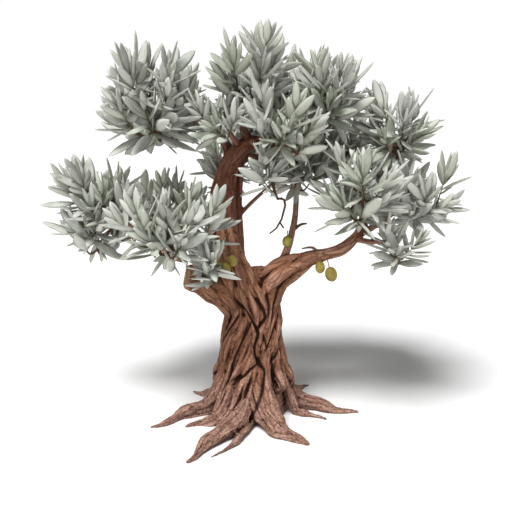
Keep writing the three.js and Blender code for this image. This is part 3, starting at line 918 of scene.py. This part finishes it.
def grain_of(points, lines):
    """For each point, its place against the nearest tube: how far out to each side, and how
    far along, shrunk so that noise read there is drawn out along the limb. Also how young, which
    on the rear leader is partly painted shade."""
    rows = np.vstack([line for line, _, _ in lines])
    frames = [frames_along(line[None, :, :3]) for line, _, _ in lines]
    normal = np.vstack([f[1][0] for f in frames])
    binormal = np.vstack([f[2][0] for f in frames])
    far = [np.concatenate([[0], np.cumsum(np.linalg.norm(np.diff(line[:, :3], axis=0), axis=1))])
           for line, _, _ in lines]
    along = np.concatenate([run + 3.7 * i for i, run in enumerate(far)])
    youth_and_shade = np.concatenate([np.full(len(line), y) for line, _, y in lines])
    nearest = np.empty(len(points), int)
    squares = (rows[:, :3] ** 2).sum(1)
    for start in range(0, len(points), BATCH):
        some = points[start:start + BATCH]
        apart = (some**2).sum(1)[:, None] + squares - 2 * some @ rows[:, :3].T
        gap = np.sqrt(np.maximum(apart, 0)) - rows[:, 3]
        nearest[start:start + BATCH] = gap.argmin(1)
    aside = points - rows[nearest, :3]
    grain = np.column_stack([
        (aside * normal[nearest]).sum(1), (aside * binormal[nearest]).sum(1),
        GRAIN_STRETCH * along[nearest],
    ])
    return grain, youth_and_shade[nearest]


def relief_of(points, grain):
    """How far the bark stands out: two sizes of noise along the grain, narrow cracks as
    (1 - |noise|)^8, and knobs that are strongest on the roots."""
    relief = 0.005 * noise(grain, 26, 1) + 0.004 * noise(grain, 55, 2)
    relief -= 0.006 * (1 - np.abs(noise(grain, 13, 4))) ** 8
    return relief + 0.004 * noise(points, 48, 3) * np.clip(1.5 - points[:, 2], 0.35, 1)


def hollows(points, normals, edges):
    """How far each point lies under the average of the skin around it, as a share of a deep
    furrow, which sets the painted shade in the hollows, and how far over it, as a share of a
    high ridge, which sets the painted highlight on the ridges: the larger of near and far."""
    smooth = points.copy()
    furrow_shade, ridge_highlight = np.zeros(len(points)), np.zeros(len(points))
    done = 0
    for steps, deep, high in HOLLOW_SIZES:
        for _ in range(done, steps):
            smooth += 0.6 * (averaged(smooth, edges) - smooth)
        done = steps
        under = ((smooth - points) * normals).sum(1)
        furrow_shade = np.maximum(furrow_shade, under / deep)
        ridge_highlight = np.maximum(ridge_highlight, -under / high)
    return furrow_shade, ridge_highlight


def cut_flat(mesh, point, normal):
    """Cuts the mesh on a plane, drops what lies past it and closes the cut."""
    shape = bmesh.new()
    shape.from_mesh(mesh)
    everything = shape.verts[:] + shape.edges[:] + shape.faces[:]
    result = bmesh.ops.bisect_plane(
        shape, geom=everything, plane_co=point, plane_no=normal, clear_outer=True, dist=1e-5
    )
    rim = [e for e in result["geom_cut"] if isinstance(e, bmesh.types.BMEdge)]
    bmesh.ops.holes_fill(shape, edges=rim, sides=0)
    shape.to_mesh(mesh)
    shape.free()


def make_wood():
    """The bark: the skin round every tube, with the stub's end pressed flat, smoothed, carved,
    cut off at the ground and thinned."""
    lines = wood_lines()
    mesh = melted(lines)
    points, edges = vertex_rows(mesh, "co"), edges_of(mesh)

    stub = limb_rows("stub")
    saw = unit(stub[-1, :3] - stub[-6, :3])
    sawn_at = stub[-1, :3] - 0.01 * saw
    near = np.linalg.norm(points - stub[-1, :3], axis=1) < SAW_REACH
    past = np.where(near, np.maximum(0, (points - sawn_at) @ saw), 0)
    points -= past[:, None] * saw

    # The wood is smoothest about the fork and most deeply furrowed low on the trunk.
    about_fork = 0.5 * np.clip((points[:, 2:3] - 1.0) / 0.3, 0, 1)
    for step in range(7):
        share = 0.5 if step < 2 else about_fork
        points += share * (averaged(points, edges) - points)
    set_points(mesh, points)
    mesh.update()
    normals = vertex_rows(mesh, "normal")

    grain, youth_and_shade = grain_of(points, lines)
    youth_and_shade *= np.clip((points[:, 2] - 1.6) / 0.55, 0, 1)
    sawn = np.exp(-(np.abs((points - sawn_at) @ saw) / 0.02) ** 2) * near
    # The seams' depth, and the painted shade in them.
    seam, seam_shade = seam_depth(points, seams(np.random.default_rng(SEED + 1)))
    relief = relief_of(points, grain) * (1 - 0.6 * youth_and_shade) * (1 - sawn)
    points += normals * (relief - seam)[:, None]

    # Painted shade in the hollows and a painted highlight on the ridges, from how far the skin
    # lies under or over its smoothed self.
    furrow_shade, ridge_highlight = hollows(points, normals, edges)
    facing = np.clip(((normals @ saw) - 0.8) / 0.15, 0, 1)
    set_points(mesh, points)
    set_attribute(mesh, "grain", grain, "FLOAT_VECTOR")
    set_attribute(mesh, "youth_and_shade", youth_and_shade)
    set_attribute(mesh, "furrow_shade", np.clip(np.maximum(furrow_shade, seam_shade), 0, 1))
    set_attribute(mesh, "ridge_highlight", np.clip(ridge_highlight, 0, 1))
    set_attribute(mesh, "cut", facing * (sawn > 0.3))

    cut_flat(mesh, (0, 0, 0), (0, 0, -1))
    triangles = sum(len(face.vertices) - 2 for face in mesh.polygons)
    mesh = worked(mesh, "DECIMATE", ratio=BARK_TRIANGLES / triangles)
    points = vertex_rows(mesh, "co")
    points[:, 2] = np.maximum(points[:, 2], 0)
    set_points(mesh, points)
    set_smooth(mesh)
    new_piece("bark", mesh, [bark_material()], ["trunk", *LIMBS, *BOUGHS])


# ---- twigs, leaves and fruit ----


def reach_finder(node):
    """How far the mass's outline lies from a point in a direction, from the frame's solid."""
    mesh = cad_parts[node].data
    tree = BVHTree.FromPolygons(
        [v.co[:] for v in mesh.vertices], [p.vertices[:] for p in mesh.polygons]
    )

    def reach(start, way):
        hit = tree.ray_cast(Vector(start), Vector(way))
        return hit[3] if hit[3] is not None else 0.0

    return reach


def sprays_in(node, random):
    """Where a mass's sprays start, and which way they grow. Directions go round the mass on a
    golden-angle spiral, and each spray ends just inside the outline, leaning outwards and up.
    """
    low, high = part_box(node)
    middle, half = mass_middle(node), (np.array(high) - np.array(low)) / 2
    reach = reach_finder(node)
    area = 4 * math.pi * (half[0] * half[1] + half[1] * half[2] + half[0] * half[2]) / 3
    count = max(4, round(area / SPRAY_AREA))
    turn = random.uniform(0, 2 * math.pi)
    starts, ways, sizes = [], [], []
    for i in range(count):
        z = 0.97 - 1.8 * (i + 0.5) / count
        ring = math.sqrt(1 - z * z)
        way = np.array([ring * math.cos(turn), ring * math.sin(turn), z])
        turn += GOLDEN_ANGLE
        way = unit(way + random.normal(0, 0.1, 3))
        size = random.uniform(0.86, 1.1) * min(1, 0.55 + 0.9 * half.min())
        lean = unit(0.62 * way + 0.66 * UP + random.normal(0, 0.12, 3))
        edge = reach(middle, way) * random.uniform(0.94, 1.02)
        tip = middle + way * edge
        starts.append(tip - lean * size * (0.7 * SHOOT_LENGTH + 0.72 * LEAF_LENGTH))
        ways.append(lean)
        sizes.append(size)
    for start, way, size in FRONT_SPRAYS.get(node, []):
        starts.append(np.array(start))
        ways.append(unit(np.array(way)))
        sizes.append(size)
    return np.array(starts), np.array(ways), np.array(sizes)


def feeding_lines(node):
    """The ends of the limbs that feed a mass, as points where its twigs may start."""
    names = [name for name, (_, _, mass, _, _) in BOUGHS.items() if mass == node]
    names += [NO_BOUGH[node]] if node in NO_BOUGH else []
    return np.vstack([limb_rows(name, BOUGH_STEPS)[-14:, :3] for name in names])


def twigs_to(starts, ways, nodes, random):
    """Twigs that reach every spray, nearest first: each leaves the nearest wood made so far
    and runs to its spray on a cubic curve that leaves outwards and arrives along the spray.
    """
    order = np.argsort([np.linalg.norm(nodes - start, axis=1).min() for start in starts])
    t = np.linspace(0, 1, TWIG_STEPS)[:, None]
    heart = nodes.mean(0)
    rows = []
    for i in order:
        start, way = starts[i], ways[i]
        apart = np.linalg.norm(nodes - start, axis=1)
        root = nodes[(apart + 0.15 * np.linalg.norm(nodes - heart, axis=1)).argmin()]
        length = np.linalg.norm(start - root)
        out = unit(start - root + 0.3 * (root - heart) + random.normal(0, 0.05, 3))
        first = root + 0.4 * length * out
        second = start - 0.35 * length * way
        line = ((1 - t) ** 3 * root + 3 * (1 - t) ** 2 * t * first
                + 3 * (1 - t) * t**2 * second + t**3 * start)
        thick = 0.012 + 0.014 * min(1, length / 0.5)
        rows.append(np.hstack([line, thick * (1 - t) + SHOOT_RADIUS * t]))
        nodes = np.vstack([nodes, line[3:7]])
    return rows


def shoots_from(starts, ways, sizes):
    """A spray's shoot: along its way and bending up a little, by 0.12 t^2 of its length."""
    t = np.linspace(0, 1, TWIG_STEPS)[None, :, None]
    length = (sizes * SHOOT_LENGTH)[:, None, None]
    line = starts[:, None] + length * (t * ways[:, None] + 0.12 * t**2 * UP)
    thick = (SHOOT_RADIUS - 0.0055 * t) * sizes[:, None, None]
    return np.concatenate([line, thick], -1)


def leaves_on(shoots, sizes, random):
    """Leaves in pairs along each shoot, each pair turned a quarter from the last: steep and
    short at the tip, wide-set and drooping at the foot. Gives where each starts, its way, the
    way its upper face looks, and its length."""
    count = len(shoots)
    k = np.arange(PAIRS)
    share = (k + 0.6) / (PAIRS - 0.4)
    place = (TWIG_STEPS - 1) * share
    low = np.minimum(place.astype(int), TWIG_STEPS - 2)
    part = (place - low)[None, :, None]
    at = shoots[:, low, :3] * (1 - part) + shoots[:, low + 1, :3] * part
    tangent, normal, binormal = frames_along(shoots[..., :3])
    along, side, up = tangent[:, low], normal[:, low], binormal[:, low]
    turn = random.uniform(0, 2 * np.pi, (count, 1)) + k * np.pi / 2
    turn = np.stack([turn, turn + np.pi], -1) + random.normal(0, 0.22, (count, PAIRS, 2))
    tilt = np.radians(LEAF_TILT - LEAF_STEEPER * share**0.95)[None, :, None]
    tilt = tilt + random.normal(0, 0.1, (count, PAIRS, 2))
    aside = (np.cos(turn)[..., None] * side[:, :, None] + np.sin(turn)[..., None]
             * up[:, :, None])
    way = np.cos(tilt)[..., None] * along[:, :, None] + np.sin(tilt)[..., None] * aside
    droop = (LEAF_DROOP * (1 - share) ** 1.2)[None, :, None, None]
    way = unit(way - droop * UP)
    face = along[:, :, None] - (along[:, :, None] * way).sum(-1, keepdims=True) * way
    face = unit(face + random.normal(0, 0.2, face.shape))
    length = LEAF_LENGTH * (0.84 + 0.28 * np.sin(np.pi * share**0.8))[None, :, None]
    length = length * random.uniform(0.74, 1.2, (count, PAIRS, 2)) * sizes[:, None, None]
    return np.broadcast_to(at[:, :, None], way.shape), way, face, length


def kept_inside(start, way, length, node):
    """How far each spray has to move for its leaf tips to stay by its mass's box."""
    low, high = (np.array(corner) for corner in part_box(node))
    tips = (start + length[..., None] * way).reshape(len(start), -1, 3)
    over = np.maximum(tips.max(1) - high - LEAF_MARGIN, 0)
    under = np.maximum(low - LEAF_MARGIN - tips.min(1), 0)
    return under - over


def clear_of_openings(middles):
    """True for the points that stand in no opening: a point is in one if it is nearer to the
    viewpoint than the opening's own point and within its radius of the line between them."""
    eye = np.array(VIEWPOINT)
    clear = np.ones(middles.shape[:-1], bool)
    for point, radius in OPENINGS:
        sight = np.array(point) - eye
        share = ((middles - eye) @ sight) / (sight @ sight)
        aside = np.linalg.norm(middles - eye - share[..., None] * sight, axis=-1)
        clear &= (share > 1) | (aside > radius * share)
    return clear


def leaf_shells(start, way, face, length, random):
    """Closed, thick leaves. At a share t of its length a leaf is sin(pi t^1.06)^0.64 of its
    width; its section is a flat lens of eight points, folded up along the midrib, and its
    middle line bends by a share of t^2 towards or away from its upper face."""
    count = len(start)
    face = unit(face - (face * way).sum(-1, keepdims=True) * way)
    side = np.cross(way, face)
    width = length / LEAF_SLENDER * random.uniform(0.86, 1.2, count)
    bend = random.normal(0.05, 0.06, count)
    fold = random.uniform(0.02, 0.22, count)
    sweep = random.normal(0, 0.035, count)
    outline = np.maximum(np.sin(np.pi * LEAF_STATIONS**1.06) ** 0.64, 0.08)
    thick = LEAF_THICK * np.clip(outline * 1.6, 0.25, 1) / 2
    t = LEAF_STATIONS[None, :, None, None]
    half = (width[:, None] * outline / 2)[:, :, None, None]
    across = LENS_ACROSS[None, None, :, None] * half
    lens = (thick[:, None] * LENS_HEIGHT)[None, ..., None]
    lift = fold[:, None, None, None] * np.abs(across) + lens
    lift = lift + (bend * length)[:, None, None, None] * t**2
    across = across + (sweep * length)[:, None, None, None] * t**2
    run = t * length[:, None, None, None]
    points = (start[:, None, None] + run * way[:, None, None] + across * side[:, None, None]
              + lift * face[:, None, None])
    stations, sides = len(LEAF_STATIONS), len(LENS_ACROSS)
    foot = np.array([[0, 1, 2, 3], [0, 3, 4, 7], [7, 4, 5, 6]])
    tip = foot[:, ::-1] + (stations - 1) * sides
    faces = np.vstack([ring_quads(stations, sides)[:, TURNED], foot, tip])
    under = np.broadcast_to(LENS_HEIGHT < 0, (count, stations, sides))
    uv = np.empty((count, stations, sides, 2))
    uv[..., 0] = LEAF_STATIONS[None, :, None]
    uv[..., 1] = (LENS_ACROSS / 2 + 0.5)[None, None, :]
    faces = repeated(faces, count, stations * sides)
    return points.reshape(-1, 3), faces, under.reshape(-1), uv.reshape(-1, 2)


def make_foliage(node, tints, random):
    """One mass: its leaves as a piece of their own, and the rows of its twigs and shoots."""
    starts, ways, sizes = sprays_in(node, random)
    shoots = shoots_from(starts, ways, sizes)
    start, way, face, length = leaves_on(shoots, sizes, random)
    move = kept_inside(start, way, length, node)
    start = start + move[:, None, None]
    shoots[..., :3] += move[:, None]
    twigs = twigs_to(starts + move, ways, feeding_lines(node), random)
    keep = clear_of_openings(start + 0.55 * length[..., None] * way)
    keep &= random.uniform(0, 1, keep.shape) < LEAVES_LEFT
    spray = np.broadcast_to(np.arange(len(starts))[:, None, None], keep.shape)[keep]
    points, faces, under, uv = leaf_shells(
        start[keep], way[keep], face[keep], length[keep], random
    )
    name = node.replace("foliage", "leaves")
    mesh = new_mesh(name, points, faces)
    set_attribute(mesh, "under", under)
    layer = mesh.uv_layers.new(name="leaf")
    corners = np.empty(len(mesh.loops), np.int32)
    mesh.loops.foreach_get("vertex_index", corners)
    layer.data.foreach_set("uv", uv[corners].astype(np.float32).ravel())
    tint = random.choice(len(tints), len(starts), p=TINT_SHARES)
    per_leaf = len(faces) // len(spray)
    mesh.polygons.foreach_set("material_index", np.repeat(tint[spray], per_leaf).astype(np.int32))
    new_piece(name, mesh, tints, [node])
    return twigs + list(shoots)


def make_twigs(rows):
    """All the twigs as one piece, a little uneven all over."""
    points, quads, tris = tubes(np.array(rows), TWIG_SIDES)
    wander = 0.0022 * np.column_stack([noise(points, 38, s) for s in (11, 12, 13)])
    mesh = new_mesh("twigs", points + wander, quads, tris)
    new_piece("twigs", mesh, [twig_material()], [])


def make_olives(places, random):
    """Fruit: a curve turned about its long axis, r = sin(a)^0.92 with a small nipple at the
    foot. Gives the rows of the thin, straight stalks that they hang from."""
    count, rings, sides = len(places), 13, 16
    a = np.linspace(0.02, np.pi - 0.02, rings)
    turn = np.linspace(0, 2 * np.pi, sides, endpoint=False)
    radius = np.sin(a) ** 0.92
    height = 1.22 * np.cos(a) - 0.06 * np.exp(-((np.pi - a) / 0.25) ** 2)
    profile = np.stack([
        radius[:, None] * np.cos(turn), radius[:, None] * np.sin(turn),
        np.broadcast_to(height[:, None], (rings, sides)),
    ], -1)
    lean = unit(np.column_stack([random.normal(0, 0.22, (count, 2)), np.ones(count)]))
    side = unit(np.cross(lean, np.broadcast_to([0.0, 1.0, 0.0], lean.shape)))
    basis = np.stack([side, np.cross(lean, side), lean], 1)
    points = places[:, None, None, :3] + places[:, 3, None, None, None] * np.einsum(
        "rsk,nkj->nrsj", profile, basis)
    k = np.arange(1, sides - 1)
    cap = np.stack([0 * k, k, k + 1], -1)
    caps = np.vstack([cap, cap[:, ::-1] + (rings - 1) * sides])
    mesh = new_mesh(
        "olives", points.reshape(-1, 3),
        repeated(ring_quads(rings, sides)[:, TURNED], count, rings * sides),
        repeated(caps, count, rings * sides),
    )
    new_piece("olives", mesh, [olive_material()], [])
    t = np.linspace(0, 1, TWIG_STEPS)[None, :, None]
    top = places[:, None, :3] + lean[:, None] * 1.15 * places[:, None, 3:]
    stalk = top + t * (UP * 0.07 + random.normal(0, 0.02, (count, 1, 3)))
    return list(np.concatenate([stalk, np.full((count, TWIG_STEPS, 1), STALK_RADIUS)], -1))


def hidden_olives(masses, random):
    """A few more fruit low in the masses at the back."""
    places = []
    for node in masses:
        middle = mass_middle(node)
        low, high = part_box(node)
        drop = 0.42 * (high[2] - low[2])
        aside = random.uniform(-0.16, 0.16, 2)
        places.append([*(middle[:2] + aside), middle[2] - drop + 0.12, OLIVE_RADIUS])
    return np.array(places)


# ---- floor, light and camera ----


def set_stage():
    bpy.ops.mesh.primitive_plane_add(size=FLOOR_SIZE, location=(0, 0, -0.002))
    floor = bpy.context.object
    floor.name = "floor"
    material, _, shader = new_material("pale_floor", 0.1)
    shader.inputs["Roughness"].default_value = 0.9
    shader.inputs["Base Color"].default_value = (FLOOR_TONE, FLOOR_TONE, FLOOR_TONE, 1)
    floor.data.materials.append(material)


def set_studio():
    """A world that is white at the horizon and dimmer overhead, and one wide, soft lamp."""
    world = bpy.data.worlds.new("studio")
    world.use_nodes = True
    make = node_maker(world)
    way = make("TexCoord").outputs["Generated"]
    height = make("SeparateXYZ", {"Vector": way}).outputs["Z"]
    sky = world.node_tree.nodes["Background"]
    sky.inputs["Color"].default_value = (1, 1, 1, 1)
    world.node_tree.links.new(ramp(make, height, 0.18, 0.5, 1.0, 0.1), sky.inputs["Strength"])
    bpy.context.scene.world = world
    sun = bpy.data.lights.new("key", "SUN")
    sun.energy = LIGHT_STRENGTH
    sun.angle = math.radians(LIGHT_WIDTH)
    lamp = bpy.data.objects.new("key", sun)
    lamp.rotation_euler = Vector(LIGHT_WAY).to_track_quat("-Z", "Y").to_euler()
    bpy.context.scene.collection.objects.link(lamp)
    bpy.context.scene.view_settings.view_transform = "Standard"


def set_camera():
    camera = bpy.data.cameras.new("camera")
    camera.lens = 50
    camera.sensor_width = 36
    view = bpy.data.objects.new("camera", camera)
    view.location = VIEWPOINT
    view.rotation_euler = (math.radians(90 - LOOKS_DOWN), 0, 0)
    bpy.context.scene.collection.objects.link(view)
    bpy.context.scene.camera = view


set_camera()
set_studio()
set_stage()
make_wood()

leaf_tints = [leaf_material(name, upper, under) for name, upper, under in LEAF_TINTS]
masses = sorted(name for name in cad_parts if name.startswith("foliage"))
twig_rows = [spline(stations, TWIG_STEPS) for stations in BARE_TWIGS]
for place, mass in enumerate(masses):
    twig_rows += make_foliage(mass, leaf_tints, np.random.default_rng([SEED, place]))
seeded = np.random.default_rng(SEED)
hidden = hidden_olives([name for name in masses if "back" in name], seeded)
twig_rows += make_olives(np.vstack([OLIVES, hidden]), seeded)
make_twigs(twig_rows)
